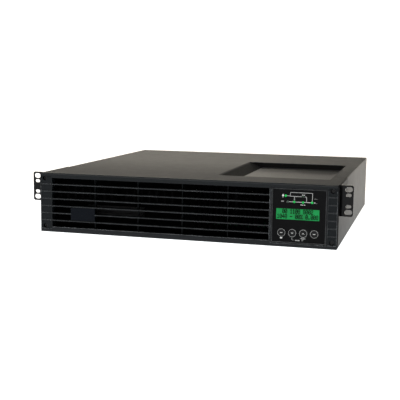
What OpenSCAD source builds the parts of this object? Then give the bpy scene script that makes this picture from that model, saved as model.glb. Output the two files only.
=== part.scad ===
/* [Bezel] */
// How far the bezel stands out beyond each side of the chassis
bezel_side = 0; // [-0.5:0.25:1]
// Height of the front bezel, two rack units less a little play
bezel_h = 89; // [84:0.5:92]
// Depth of the bezel from its front face to its back edge
bezel_d = 16; // [15:0.5:16]
// Radius of the upper front edge of the bezel
bezel_r = 3; // [1.5:0.5:4]
// Radius of the lower front edge of the bezel
foot_r = 1.5; // [0.6:0.1:3]
// Wall thickness of the bezel
bezel_wall = 2.4; // [2:0.2:3]
// Thickness of each horizontal slat
slat_t = 1.6; // [1.2:0.2:2.4]
// Distance between neighbouring slats
slat_pitch = 10.87; // [10:0.01:11]
// Depth of the slats behind the front face
slat_d = 12.5; // [10:0.5:13]
// Distance between the upright ribs behind the slats
rib_pitch = 67.6; // [60:0.1:74]

/* [Chassis] */
// Width of the chassis behind the ears
chassis_w = 444; // [424:1:450]
// Depth of the room behind the battery bay
rear_room = 110; // [105:1:150]
// Outer radius of the long edges of the top cover
cover_r = 2; // [1.6:0.1:3]
// Thickness of the sheet metal
sheet = 1.2; // [1:0.1:1.4]
// Depth of the sunk panel in the top cover
sunk_depth = 8.5; // [4:0.5:9]
// Width of the sloping left wall of the sunk panel
sunk_run = 24; // [12:1:30]

/* [Rack ears] */
// How far each ear stands out from the chassis, to the width of a rack panel
ear_reach = 19.3; // [18:0.1:22]
// Height of one ear, one rack unit
ear_h = 43.6; // [42:0.1:43.6]
// Thickness of the ears
ear_t = 2; // [1.6:0.1:2.4]
// Outer radius of the bend of the ears
ear_bend = 4; // [3:0.5:4.5]
// Length of the ear flange along the chassis side
ear_flange = 86; // [70:1:110]

/* [Display module] */
// Height of the bezel left over above and below the square display module
module_rest = 12.2; // [11:0.1:14]
// Depth of the display module
module_d = 55; // [50:1:60]
// Radius of the four push buttons
button_r = 4.5; // [4:0.1:4.8]
// Travel of the push buttons
button_travel = 0.8; // [0.4:0.1:0.8]

/* [Batteries] */
// Height of a battery, laid across the tray
battery_h = 94; // [84:1:98]
// Length of a battery along the tray
battery_l = 151; // [130:1:170]

/* [Fans] */
// Side of the square fan frames
fan_s = 60; // [56:1:66]
// Depth of the fan frames
fan_d = 25; // [24:1:30]

/* [Hidden] */
$fn = 48;

// Extra length of a cut beyond the surface it starts from
over = 1;
// Room between pieces that move past each other
free_gap = 0.4;
// Room between neighbouring pieces that stay put
seam = 0.3;
// Radial room of a turning shaft in its bearing
shaft_gap = 0.05;

// Width of the bezel
bezel_w = chassis_w + 2 * bezel_side;
// How far the top cover lies below the top of the bezel
lid_drop = 0.4;
// Height of the chassis
chassis_h = bezel_h - lid_drop;
// Front edge of the chassis, from the bezel's face
face_y = bezel_d + seam;

// Half width of the inside of the cover
inner_x = chassis_w / 2 - sheet;
// Half width between the upturned sides of the base
floor_x = inner_x - sheet;
// Height of the upturned sides of the base
base_side_h = 18;
// Underside of the top cover
roof_z = chassis_h - sheet;
// Height of the cover's rear lip
lip_h = 9;

// Middle height of the front
mid_z = bezel_h / 2;
// Side of the square display module
module_s = bezel_h - module_rest;
// Width of the bezel outside the display module
module_side = 14.9;
// Middle of the display module, from the unit's centre line
module_x = bezel_w / 2 - module_side - module_s / 2;
// Height of the middle of the display module
module_z = mid_z - 0.5;
// Opening in the bezel for the display module
module_open = module_s + 3 * free_gap;
// Distance of the module's rim behind the bezel's face
module_y = 0.8;

// Width of the left end of the bezel outside the grille
end_w = 18.5;
// Left edge of the grille
grille_x0 = -bezel_w / 2 + end_w;
// Right edge of the grille
grille_x1 = module_x - module_open / 2 - bezel_wall;
// Lower edge of the grille
grille_z0 = 8;
// Upper edge of the grille
grille_z1 = bezel_h - 7.2;
// Height of the middle of the slats
slat_mid_z = mid_z + 0.5;
// Number of slats
slats = 6;
// Position of the first upright rib
rib_x0 = grille_x0 + 67;
// Number of upright ribs
ribs = 4;
// Thickness of the upright ribs
rib_t = 0.9;
// Distance of the ribs behind the front face
rib_set = 6;
// Depth of the shallow strips at both ends of the bezel
strip_set = 1;
// Width of the plain rim outside the end strips
strip_rim = 0.8;
// Lower edge of the end strips
strip_z0 = 5.5;
// Upper edge of the end strips
strip_z1 = bezel_h - 4.5;
// Gap between the end strips and the grille or the module
strip_gap = 1.2;

// Bezel screw positions, from the centre line
bolt_x = bezel_w / 2 - 7;
// Height of the lower bezel screws
bolt_z0 = 9;
// Height of the upper bezel screws
bolt_z1 = bezel_h - 8;
// Radius of the bezel screws
bolt_r = 1.5;
// Radius of the bezel screw heads
bolt_head_r = 2.7;
// Depth of the counterbores of the bezel screws
bolt_sink = 6;
// Depth of the grooves along the rear edges of the bezel's ends
groove_d = 1;
// Width of the grooves
groove_w = 2.5;
// Radius of the screw bosses in the bezel
boss_r = 5.37;

// Width of the badge plate
badge_w = 38.4;
// Height of the badge plate
badge_h = 19;
// Middle of the badge plate, from the centre line
badge_x = grille_x0 + 49.7;
// Height of the middle of the badge plate
badge_z = mid_z - 15.6;
// Thickness of the badge plate
badge_t = 2;

// Front of the inner front panel
panel_y = 22.3;
// Upper edge of the front and rear panels
panel_top = roof_z;
// Back of the inner front panel
panel_back = panel_y + sheet;

// Radius of the posts that take the bezel screws
post_r = 3.4;
// Width of the gap that holds the battery wiring
wire_gap = 12;
// Width of the battery tray
tray_w = 2 * battery_h + wire_gap + 2 * sheet + 2 * seam;
// Room between the tray and the side of the chassis
tray_margin = 9.1;
// Middle of the battery tray, from the centre line
tray_x = -floor_x + tray_margin + tray_w / 2;
// Thickness of the runner strips under the tray
runner_t = 1.5;
// Underside of the tray
tray_z = sheet + runner_t + seam;
// Back of the tray's front plate
plate_y = panel_y - seam;
// Length of the tray behind its front plate
tray_l = 2 * battery_l + 10;
// Back of the tray
tray_end = plate_y + tray_l;
// Height of the tray's sides
tray_side_h = 30;
// Upper edge of the tray's front plate
plate_top = roof_z - 3.2;
// Height of the screws of the tray's front plate
plate_bolt_z = plate_top - 4.5;
// Upper edge of the opening for the batteries
bay_top = plate_top - 9;
// Width of a battery, which stands upright in the tray
battery_w = bay_top - 5 - tray_z - sheet;
// Distance of the tray's screws from the middle of the tray
plate_bolt_x = 79;
// Inner face of the divider beside the batteries
divider_x = tray_x + tray_w / 2 + 3;
// Left side of the guide frame round the display module
well_x0 = module_x - module_s / 2 - free_gap - sheet;
// Distance between the air slots of the front panel
vent_pitch = 8.4;
// Length of the mating connectors
plug_l = 8;
// Front face of the wall behind the batteries
bay_end = tray_end + 2 * plug_l + seam;

// Rear face of the chassis, from the bezel's face
back_y = bay_end + rear_room;
// Length that the longest rear fitting stands out of the chassis
rear_proud = 7;
// Front face of the bezel when the whole depth is centred
front_y = -(back_y + rear_proud) / 2;

// Distance of the sunk panel from the right side of the cover
sunk_side = 20;
// Width of the sunk panel
sunk_w = 168;
// Front edge of the sunk panel, from the bezel's face
sunk_y = 70;
// Length of the sunk panel
sunk_l = 221;
// Radius of the sunk panel's corners
sunk_r = 6;
// Right edge of the sunk panel
sunk_x1 = chassis_w / 2 - sunk_side;

// Middle of the ear's outer slots above and below the ear's middle
big_slot_z = 15.875;
// Middle of the ear's inner slots above and below the ear's middle
small_slot_z = 7.9375;
// Outer edge of the ears, from the centre line
ear_x = chassis_w / 2 + ear_reach;
// Slot positions, from the centre line
slot_x = ear_x - 6.7;
// Length of the outer slots
big_slot_l = 10.3;
// Width of the outer slots
big_slot_w = 7.1;
// Length of the inner slots
small_slot_l = 7.6;
// Width of the inner slots
small_slot_w = 4.8;
// Front face of the ears, from the bezel's face
ear_y = bezel_d - 0.2;
// Upper edge of the ears
ear_top = chassis_h - 0.2;
// Middle height of the ears
ear_z = ear_top - ear_h / 2;
// Distances of the ear's side screws behind the chassis' front edge
ear_bolts = [18, 44, 66];

// Middle height of the fans
fan_z = chassis_h / 2 - 2;
// Position of the outer fan
fan_x0 = -floor_x + fan_s / 2 + 12.6;
// Positions of the fans
fan_x = [fan_x0, fan_x0 + fan_s + 10];
// Distance of the fan screws from the fan's middle
fan_bolt = fan_s / 2 - 5;
// Radius of the fan's air duct
duct_r = fan_s / 2 - 1.4;
// Inner face of the rear panel
rear_y = back_y - sheet;

// Lower edge of the outlets
outlet_z0 = sheet + 1.8;
// Gap between the two rows of outlets
outlet_gap = 2;
// Width of an outlet's face
outlet_w = 30;
// Height of an outlet's face
outlet_h = (chassis_h - lip_h - 3.6 - outlet_z0 - outlet_gap) / 2;
// Height of the lower row of rear fittings
low_z = outlet_z0 + outlet_h / 2;
// Height of the upper row of rear fittings
high_z = low_z + outlet_h + outlet_gap;
// Distance between the columns of outlets
outlet_pitch = 40;
// Position of the outer column of outlets
outlet_x1 = floor_x - 25.6;
// Columns of the outlets
outlet_x = [outlet_x1 - outlet_pitch, outlet_x1];
// Rows of the outlets
outlet_z = [low_z, high_z];
// Position of the power inlet
inlet_x = outlet_x[0] - 52;
// Position of the external battery socket
socket_x = inlet_x - 48;
// Position of the serial port
serial_x = socket_x - 44;
// Position of the data port
usb_x = serial_x - 30;
// Position of the accessory slot
slot_cx = inlet_x - 80;
// Width of the accessory slot cover
slot_w = 80;
// Height of the accessory slot cover
slot_h = outlet_h - 2;
// Distance of the slot cover's screws from its middle
slot_bolt = slot_w / 2 - 6;
// Distance of the serial port's screw posts from its middle
serial_bolt = 12.5;
// Left edge of the plate that carries the ports and the accessory slot
fan_seam_x = slot_cx - slot_w / 2 - 24;
// Left edge of the plate that carries the power fittings
power_seam_x = inlet_x - 25.4;
// Radius of the breaker's threaded neck
neck_r = 5.5;
// Radius of the breaker's reset button
reset_r = 3.2;

// Height of the standoffs under the main board
standoff_h = 8;
// Thickness of the circuit boards
board_t = 1.6;
// Underside of the main board
board_z = sheet + standoff_h;
// Left edge of the main board
board_x0 = divider_x + sheet + 11.3;
// Right edge of the main board
board_x1 = floor_x - 7.6;
// Front edge of the main board
board_y0 = 92;
// Rear edge of the main board
board_y1 = back_y - 60.3;
// Positions of the heat sinks
sink_x = [board_x0 + 44, board_x1 - 46];
// Half width of the heat sinks' fins
fin_reach = 20;
// Distance between the fins
fin_pitch = 6.6;
// Distance between the capacitors
cap_pitch = (board_x1 - board_x0 - 88) / 3;
// Radius of the capacitors
cap_r = cap_pitch * 0.395;
// Outer radius of the coils
coil_r = 29;
// Middle of the coils, from the bezel's face
coil_y = rear_y - fan_d - 13 - coil_r;

// Clearance radius of the holes for sheet metal screws
hole_r = 1.7;
// Distances of the ear's screws above and below the ear's middle
ear_rows = [-12, 12];

// Moves a piece from the bezel's face to the middle of the depth
module placed() {
    translate([0, front_y, 0]) children();
}

// Box given by two opposite corners
module box(a, b) {
    translate(a) cube(b - a);
}

// Round rod that runs to the back
module rod(p, r, l) {
    translate(p) rotate([-90, 0, 0]) cylinder(r = r, h = l);
}

// Upright outline made as thick as the distance between two depths
module upright(y0, y1) {
    translate([0, y1, 0]) rotate([90, 0, 0]) linear_extrude(y1 - y0) children();
}

// Rectangle with round corners about its middle
module round_rect(w, h, r) {
    square([w - 2 * r, h], center = true);
    square([w, h - 2 * r], center = true);
    for (sx = [-1, 1], sz = [-1, 1])
        translate([sx * (w / 2 - r), sz * (h / 2 - r)]) circle(r);
}

// Slot with round ends about its middle
module slot_shape(l, w) {
    square([l - w, w], center = true);
    for (s = [-1, 1]) translate([s * (l - w) / 2, 0]) circle(w / 2);
}

// Screw that points to the back, its head standing in front of the origin
module screw(head_r, head_h, shaft_r, shaft_l) {
    difference() {
        union() {
            rod([0, -head_h, 0], head_r, head_h);
            rod([0, -head_h / 2, 0], shaft_r, shaft_l + head_h / 2);
        }
        for (a = [0, 90])
            rotate([0, a, 0])
                box([-head_r * 0.6, -head_h - over, -0.35], [head_r * 0.6, -head_h * 0.4, 0.35]);
    }
}

// Solid that fills the sunk panel below a given level, or its outside when grown by the sheet
module sunk_body(z_top, above, grow) {
    x0 = sunk_x1 - sunk_w;
    y1 = sunk_y + sunk_l;
    z0 = z_top - sunk_depth;
    intersection() {
        // Side view with the sloping left wall
        upright(sunk_y - grow - over, y1 + grow + over)
            polygon([[x0, z_top], [x0, z_top + above], [sunk_x1 + grow + over, z_top + above],
                     [sunk_x1 + grow + over, z0], [x0 + sunk_run, z0]]);
        // Top view with its round corners
        translate([(x0 + sunk_x1) / 2, (sunk_y + y1) / 2, z0 - over])
            linear_extrude(sunk_depth + above + 2 * over)
                round_rect(sunk_w + 2 * grow, sunk_l + 2 * grow, sunk_r + grow);
    }
}

module chassis_base() {
    color("dimgray") placed() {
        box([-inner_x, face_y, 0], [inner_x, back_y, sheet]);
        for (s = [-1, 1])
            translate([s * (inner_x - sheet / 2), 0, 0])
                box([-sheet / 2, face_y, 0], [sheet / 2, back_y, base_side_h]);
    }
}

// Upright outline with two round upper corners
module cover_outline(w, z0, z1, r) {
    translate([-w / 2, z0]) square([w, z1 - z0 - r]);
    translate([-w / 2 + r, z0]) square([w - 2 * r, z1 - z0]);
    for (s = [-1, 1]) translate([s * (w / 2 - r), z1 - r]) circle(r);
}

module top_cover() {
    color("gray") placed() difference() {
        union() {
            upright(face_y, back_y + sheet) difference() {
                cover_outline(chassis_w, 0, chassis_h, cover_r);
                cover_outline(2 * inner_x, -over, roof_z, cover_r - sheet);
            }
            // Rear lip that folds down over the rear panel
            box([-inner_x - sheet / 4, back_y, chassis_h - lip_h],
                [inner_x + sheet / 4, back_y + sheet, roof_z + sheet / 4]);
            sunk_body(chassis_h - sheet, sheet / 2, sheet);
        }
        sunk_body(chassis_h, over, 0);
        // The sides end flush with the rear panel below the lip
        box([-chassis_w, back_y, -over], [chassis_w, back_y + sheet + over, chassis_h - lip_h]);
        cover_bolts() rod([0, -2 * over, 0], hole_r, 4 * over);
        ear_bolt_places() rod([0, -over, 0], hole_r, 6 * over);
    }
}

// Places of the screws in the cover's rear lip
module cover_bolts() {
    for (f = [-1, -0.32, 0.2, 0.6, 1])
        translate([f * (chassis_w / 2 - 20), back_y + sheet, chassis_h - lip_h / 2])
            rotate([0, 0, 180]) children();
}

// Places of the screws through the side flanges of both ears
module ear_bolt_places() {
    for (s = [-1, 1], d = ear_bolts, z = ear_rows)
        translate([s * (chassis_w / 2 + ear_t), face_y + d, ear_z + z])
            rotate([0, 0, s * 90]) children();
}

module front_panel() {
    color("dimgray") placed() difference() {
        union() {
            box([-floor_x, panel_y, sheet], [floor_x, panel_back, panel_top]);
            // Foot that rests on the floor beside the battery bay
            box([divider_x + sheet + seam, panel_back, sheet],
                [floor_x, panel_back + 10, 2 * sheet]);
            // Posts that hold the bezel's screws
            for (s = [-1, 1], z = [bolt_z0, bolt_z1])
                intersection() {
                    rod([s * bolt_x, face_y, z], post_r, panel_back - face_y);
                    box([-floor_x, face_y, sheet], [floor_x, panel_back, panel_top]);
                }
        }
        box([tray_x - tray_w / 2 - 2 * free_gap, panel_y - over, 0],
            [tray_x + tray_w / 2 + 2 * free_gap, panel_back + over, bay_top]);
        box([tray_x - tray_w / 2 - 2 * free_gap, panel_y, 0],
            [tray_x + tray_w / 2 + 2 * free_gap, panel_back + 11, sheet + runner_t]);
        module_place() square(module_s + 2 * free_gap, center = true);
        for (s = [-1, 1], z = [bolt_z0, bolt_z1])
            rod([s * bolt_x, face_y - over, z], bolt_r + 0.1, 12);
        for (s = [-1, 1])
            rod([tray_x + s * plate_bolt_x, panel_y - over, plate_bolt_z], 1.6, 4);
        // Air slots between the batteries and the display
        for (i = [0:floor((well_x0 - divider_x - 23.5) / vent_pitch) - 1])
            translate([divider_x + 18.5 + i * vent_pitch, panel_y - over, 14])
                cube([4, sheet + 2 * over, roof_z - 26.4]);
    }
}

// Opening for the display module through the inner front panel
module module_place() {
    upright(panel_y - over, panel_back + over)
        translate([module_x, module_z]) children();
}

// Plate of the rear wall between two places, with its foot and the holes of the cover's screws
module rear_plate(x0, x1) {
    color("dimgray") placed() difference() {
        union() {
            box([x0, rear_y, sheet], [x1, back_y, panel_top]);
            box([x0, rear_y - 10, sheet], [x1, rear_y, 2 * sheet]);
        }
        translate([0, rear_y - over, 0]) children();
        cover_bolts() rod([0, -over, 0], hole_r, 6 * over);
    }
}

// Upright cutter through the rear wall
module rear_cut(x, z) {
    translate([x, 4, z]) rotate([90, 0, 0]) linear_extrude(4) children();
}

module rear_panel() {
    rear_plate(-floor_x, fan_seam_x - seam)
        for (x = fan_x) {
            rear_cut(x, fan_z) circle(duct_r);
            for (sx = [-1, 1], sz = [-1, 1])
                rear_cut(x + sx * fan_bolt, fan_z + sz * fan_bolt) circle(2.1);
        }
}

module port_panel() {
    rear_plate(fan_seam_x, power_seam_x - seam) {
        rear_cut(socket_x, low_z) square([36, 18], center = true);
        rear_cut(serial_x, low_z) square([20, 11], center = true);
        rear_cut(usb_x, low_z) square([12.8, 11.8], center = true);
        rear_cut(slot_cx, high_z) square([slot_w - 24, slot_h - 6], center = true);
        for (s = [-1, 1]) {
            rear_cut(slot_cx + s * slot_bolt, high_z) circle(hole_r);
            rear_cut(serial_x + s * serial_bolt, low_z) circle(1.4);
        }
    }
}

module power_panel() {
    rear_plate(power_seam_x, floor_x) {
        for (x = outlet_x, z = outlet_z)
            rear_cut(x, z) square([outlet_w - 3, outlet_h - 3], center = true);
        rear_cut(inlet_x, high_z) square([31, 24], center = true);
        rear_cut(inlet_x, low_z) circle(neck_r + 0.2);
    }
}

// One rack ear on the positive side
module ear() {
    bend_x = chassis_w / 2 + ear_bend;
    bend_y = ear_y + ear_bend;
    z0 = ear_top - ear_h;
    // Radius of the outer corners
    corner = 3;
    placed() difference() {
        union() {
            // Front flange with round outer corners
            upright(ear_y, ear_y + ear_t) {
                translate([bend_x, z0]) square([ear_x - bend_x - corner, ear_h]);
                translate([bend_x, z0 + corner]) square([ear_x - bend_x, ear_h - 2 * corner]);
                for (z = [z0 + corner, ear_top - corner])
                    translate([ear_x - corner, z]) circle(corner);
            }
            // Bend between the two flanges
            intersection() {
                translate([bend_x, bend_y, z0]) difference() {
                    cylinder(r = ear_bend, h = ear_h);
                    translate([0, 0, -over])
                        cylinder(r = ear_bend - ear_t, h = ear_h + 2 * over);
                }
                box([bend_x - ear_bend, bend_y - ear_bend, z0], [bend_x, bend_y, ear_top]);
            }
            // Side flange along the chassis
            box([chassis_w / 2, bend_y, z0],
                [chassis_w / 2 + ear_t, ear_y + ear_flange, ear_top]);
        }
        for (s = [-1, 1]) {
            upright(ear_y - over, ear_y + ear_t + over)
                translate([slot_x, ear_z + s * big_slot_z]) slot_shape(big_slot_l, big_slot_w);
            upright(ear_y - over, ear_y + ear_t + over)
                translate([slot_x, ear_z + s * small_slot_z])
                    slot_shape(small_slot_l, small_slot_w);
        }
        for (d = ear_bolts, z = ear_rows)
            translate([chassis_w / 2 + ear_t, face_y + d, ear_z + z]) rotate([0, 0, 90])
                rod([0, -over, 0], hole_r, 6);
    }
}

module ear_left() {
    color("black") mirror([1, 0, 0]) ear();
}

module ear_right() {
    color("black") ear();
}

module ear_screws() {
    color("silver") placed() ear_bolt_places() screw(3, 1.6, 1.6, 6);
}

module cover_screws() {
    color("silver") placed() cover_bolts() screw(3, 1.8, 1.6, 6);
}

// Divider beside the batteries and the wall behind them
module battery_bay() {
    color("silver") placed() difference() {
        union() {
            box([divider_x, panel_back, sheet], [divider_x + sheet, bay_end, panel_top]);
            box([divider_x, panel_back + 12, sheet], [divider_x + 12, bay_end, 2 * sheet]);
            box([-floor_x, bay_end, sheet], [divider_x + sheet, bay_end + sheet, panel_top]);
            box([-floor_x, bay_end, sheet], [divider_x, bay_end + 10, 2 * sheet]);
        }
        // Air slots in the rear wall
        for (i = [0:floor((divider_x + floor_x - 5) / 20.4) - 1])
            translate([-floor_x + 9.6 + i * 20.4, bay_end - over, roof_z - 28.4])
                cube([12, sheet + 2 * over, 18]);
        // Lightening holes in the divider
        for (i = [0:3])
            rod_x([divider_x - over, panel_back + 56.5 + i * (tray_l - 108) / 3, mid_z + 16], 10, 4);
    }
}

// Round rod that runs to the right
module rod_x(p, r, l) {
    translate(p) rotate([0, 90, 0]) cylinder(r = r, h = l);
}

module tray_runners() {
    color("white") placed()
        for (s = [-1, 1])
            translate([tray_x + s * (tray_w / 2 - 12), 0, 0])
                box([-8, panel_back + 2, sheet], [8, bay_end - 14, sheet + runner_t]);
}

module display_well() {
    inner = module_s + 2 * free_gap;
    outer = inner + 2 * sheet;
    end_y = module_y + module_d + 4;
    color("dimgray") placed() difference() {
        upright(panel_back, end_y + sheet) translate([module_x, module_z])
            square(outer, center = true);
        upright(panel_back - over, end_y) translate([module_x, module_z])
            square(inner, center = true);
        // Way for the ribbon cable through the back
        box([module_x - 20, end_y - over, module_z - 5],
            [module_x + 20, end_y + sheet + over, module_z + 5]);
    }
}

module main_board() {
    color("darkgreen") placed() difference() {
        box([board_x0, board_y0, board_z], [board_x1, board_y1, board_z + board_t]);
        standoff_places() translate([0, 0, board_z - over])
            cylinder(r = 1.6, h = board_t + 2 * over);
    }
}

// Places of the main board's standoffs
module standoff_places() {
    for (x = [board_x0 + 6, board_x1 - 6], y = [board_y0 + 6, (board_y0 + board_y1) / 2, board_y1 - 6])
        translate([x, y, 0]) children();
}

module board_standoffs() {
    color("goldenrod") placed() standoff_places() {
        translate([0, 0, sheet]) cylinder(r = 3, h = standoff_h);
        translate([0, 0, board_z]) cylinder(r = 1.5, h = board_t);
        translate([0, 0, board_z + board_t]) cylinder(r = 2.8, h = 1.8);
    }
}

// Two finned heat sinks that stand on the main board
module heat_sinks() {
    top_z = chassis_h - 21.6;
    foot_z = board_z + board_t;
    // Front and rear end of the heat sink
    y0 = board_y0 + 24;
    y1 = board_y1 - 114;
    // Thickness of a fin
    fin_t = 1.6;
    color("lightgray") placed() for (x = sink_x) {
        box([x - 3, y0, foot_z], [x + 3, y1, top_z]);
        for (i = [0:floor((top_z - foot_z - 4 - fin_t) / fin_pitch)])
            translate([x - fin_reach, y0 + 2, foot_z + 4 + i * fin_pitch])
                cube([2 * fin_reach, y1 - y0 - 4, fin_t]);
    }
}

// Ring coils that lie on the chassis floor
module inductors() {
    color("chocolate") placed() for (x = fan_x) translate([x, coil_y, sheet]) {
        rotate_extrude() {
            translate([12, 4]) square([17, 20]);
            translate([16, 0]) square([9, 28]);
            for (r = [16, 25], z = [4, 24]) translate([r, z]) circle(4);
        }
        // Base that carries the coil
        difference() {
            cylinder(r = 11.6, h = 5);
            translate([0, 0, -over]) cylinder(r = 2.2, h = 5 + 2 * over);
        }
        for (a = [0:90:270])
            rotate([0, 0, a]) box([10, -2, 0], [17, 2, 4]);
    }
}

module bulk_capacitors() {
    color("navy") placed()
        for (i = [0:3])
            translate([board_x0 + 40 + i * cap_pitch, board_y1 - 64, board_z + board_t])
                difference() {
                    cylinder(r = cap_r, h = 46);
                    // Groove under the rolled rim
                    translate([0, 0, 44]) rotate_extrude()
                        translate([cap_r - 1.6, 0]) square([1, 3]);
                }
}

// Middle height of the mating battery connectors
plug_z = 26;

module bay_connector() {
    color("dimgray") placed() difference() {
        box([tray_x - 22, bay_end - plug_l, plug_z - 10], [tray_x + 22, bay_end, plug_z + 10]);
        for (s = [-1, 1]) rod([tray_x + s * 11, bay_end - plug_l - over, plug_z], 3.3, plug_l);
    }
}

module tray_connector() {
    color("dimgray") placed() {
        box([tray_x - 20, tray_end, plug_z - 8], [tray_x + 20, tray_end + plug_l, plug_z + 8]);
        for (s = [-1, 1]) rod([tray_x + s * 11, tray_end + plug_l, plug_z], 2.8, plug_l - 2);
    }
}

// One power outlet with two blade slots and a ground hole
module outlet(i) {
    x = outlet_x[i % 2];
    z = outlet_z[floor(i / 2)];
    color("black") placed() translate([x, 0, z]) difference() {
        union() {
            upright(back_y, back_y + 2) round_rect(outlet_w, outlet_h, 3);
            upright(back_y + 2, back_y + 3) round_rect(outlet_w - 4, outlet_h - 6, 6);
            upright(rear_y - 20, back_y)
                square([outlet_w - 3.4, outlet_h - 3.4], center = true);
        }
        box([-7.3, back_y - 12, 1], [-5.4, back_y + 4, 10.5]);
        box([5.4, back_y - 12, 2], [7.3, back_y + 4, 9.5]);
        rod([0, back_y - 12, -6.5], 2.5, 16);
        box([-2.5, back_y - 12, -9], [2.5, back_y + 4, -6.5]);
    }
}

module outlet_1() {
    outlet(0);
}

module outlet_2() {
    outlet(1);
}

module outlet_3() {
    outlet(2);
}

module outlet_4() {
    outlet(3);
}

module power_inlet() {
    color("black") placed() translate([inlet_x, 0, high_z]) {
        difference() {
            union() {
                upright(back_y, back_y + 2.5) round_rect(50, 29, 4);
                upright(rear_y - 22, back_y) round_rect(30.4, 23.4, 2.2);
            }
            upright(back_y - 18, back_y + 3.5) round_rect(26, 18, 2);
            for (s = [-1, 1]) rod([s * 20, back_y - over, 0], 1.7, 5);
        }
        // Contact blades
        for (p = [[-7, 1], [7, 1], [0, 5]])
            box([p[0] - 1, back_y - 18, p[1] - 2], [p[0] + 1, back_y - 2, p[1] + 2]);
    }
}

module breaker() {
    color("black") placed() difference() {
        union() {
            rod([inlet_x, rear_y - 24, low_z], 8, 24);
            rod([inlet_x, rear_y, low_z], neck_r, sheet + 4);
            upright(back_y, back_y + 2.5) translate([inlet_x, low_z]) circle(8, $fn = 6);
        }
        rod([inlet_x, rear_y - 8, low_z], reset_r + 0.3, 8 + sheet + 5);
    }
}

module breaker_button() {
    color("white") placed() {
        rod([inlet_x, rear_y - 5, low_z], reset_r, 5 + sheet + 5.2);
    }
}

module serial_port() {
    color("silver") placed() translate([serial_x, 0, low_z]) difference() {
        union() {
            upright(back_y, back_y + 1) square([31, 12.5], center = true);
            upright(back_y + 1, back_y + 6)
                polygon([[-8.5, 4], [8.5, 4], [7.2, -4], [-7.2, -4]]);
            upright(rear_y - 10, back_y) square([19.4, 10.4], center = true);
            for (s = [-1, 1]) rod([s * serial_bolt, back_y + 1, 0], 2.4, 4.5);
        }
        upright(back_y - 2, back_y + 7)
            polygon([[-7.7, 3.3], [7.7, 3.3], [6.5, -3.3], [-6.5, -3.3]]);
    }
}

module usb_port() {
    color("silver") placed() translate([usb_x, 0, low_z]) difference() {
        upright(rear_y - 14, back_y + 1) square([12, 11], center = true);
        upright(back_y - 9, back_y + 2) square([8.6, 7.8], center = true);
    }
}

module slot_cover() {
    color("gray") placed() difference() {
        upright(back_y, back_y + sheet) translate([slot_cx, high_z])
            round_rect(slot_w, slot_h, 1.5);
        for (s = [-1, 1])
            rod([slot_cx + s * slot_bolt, back_y - over, high_z], hole_r, 4);
    }
}

module slot_screws() {
    color("silver") placed()
        for (s = [-1, 1])
            translate([slot_cx + s * slot_bolt, back_y + sheet, high_z])
                rotate([0, 0, 180]) screw(4, rear_proud - sheet, 1.6, 6);
}

module battery_socket() {
    color("gray") placed() translate([socket_x, 0, low_z]) difference() {
        union() {
            upright(back_y, back_y + 2) round_rect(44, 24, 2);
            upright(back_y + 2, back_y + 5) round_rect(35, 17, 2);
            upright(rear_y - 22, back_y) square([35.4, 17.4], center = true);
        }
        for (s = [-1, 1]) {
            upright(back_y - 14, back_y + 6) translate([s * 8.2, 0]) round_rect(13.4, 12, 1.5);
        }
    }
}

// Square fan frame with its motor mount
module fan_frame(x) {
    color("black") placed() translate([x, rear_y - fan_d, fan_z]) {
        difference() {
            upright(0, fan_d) round_rect(fan_s, fan_s, 4);
            rod([0, -over, 0], duct_r, fan_d + 2 * over);
            for (sx = [-1, 1], sz = [-1, 1])
                rod([sx * fan_bolt, -over, sz * fan_bolt], 2.1, fan_d + 2 * over);
        }
        difference() {
            union() {
                rod([0, 0, 0], 13, 3);
                rod([0, 0, 0], 4, 10);
                for (a = [90:120:330])
                    rotate([0, a, 0]) box([12, 0, -2], [duct_r + 0.6, 3, 2]);
            }
            rod([0, 1, 0], 1.5 + shaft_gap, 10);
        }
    }
}

// Curved blade of a given length and chord that points to the right
module blade(length, chord) {
    // Radius of the blade's curve
    curve = 20;
    // Thickness of the blade
    t = 1.4;
    // Rise of the curve over its chord
    rise = curve - sqrt(curve * curve - chord * chord / 4);
    rotate([90, 0, 90]) linear_extrude(length) intersection() {
        translate([0, rise / 2 - curve]) difference() {
            circle(curve);
            circle(curve - t);
        }
        translate([-chord / 2, -chord / 2]) square(chord);
    }
}

// Fan rotor with its hub, shaft and seven blades
module fan_rotor(x) {
    color("dimgray") placed() translate([x, rear_y - fan_d, fan_z]) {
        difference() {
            rod([0, 4, 0], 14, 17);
            rod([0, 3, 0], 12.4, 16.5);
        }
        rod([0, 2, 0], 1.5, 18);
        for (i = [0:6])
            rotate([0, i * 360 / 7, 0]) translate([13.4, 12.5, 0]) rotate([38, 0, 0])
                blade(duct_r - 15.8, 18);
    }
}

module fan_frame_1() {
    fan_frame(fan_x[0]);
}

module fan_frame_2() {
    fan_frame(fan_x[1]);
}

module fan_rotor_1() {
    fan_rotor(fan_x[0]);
}

module fan_rotor_2() {
    fan_rotor(fan_x[1]);
}

// Finger guard of rings and spokes outside the rear panel
module fan_guard(x) {
    // Distance of the eyelets from the middle
    eye = fan_bolt * sqrt(2);
    color("silver") placed() translate([x, back_y, fan_z]) difference() {
        union() {
            for (r = [7, 14, 21, 28])
                upright(0.8, 2.4) difference() {
                    circle(r);
                    circle(r - 1.5);
                }
            for (a = [45, 135])
                rotate([0, a, 0]) {
                    box([-eye, 0, -0.9], [eye, 1.2, 0.9]);
                    for (s = [-1, 1]) rod([s * eye, 0, 0], 4, 1.2);
                }
        }
        for (a = [45, 135], s = [-1, 1])
            rotate([0, a, 0]) rod([s * eye, -over, 0], 2.1, 4);
    }
}

module fan_guard_1() {
    fan_guard(fan_x[0]);
}

module fan_guard_2() {
    fan_guard(fan_x[1]);
}

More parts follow.
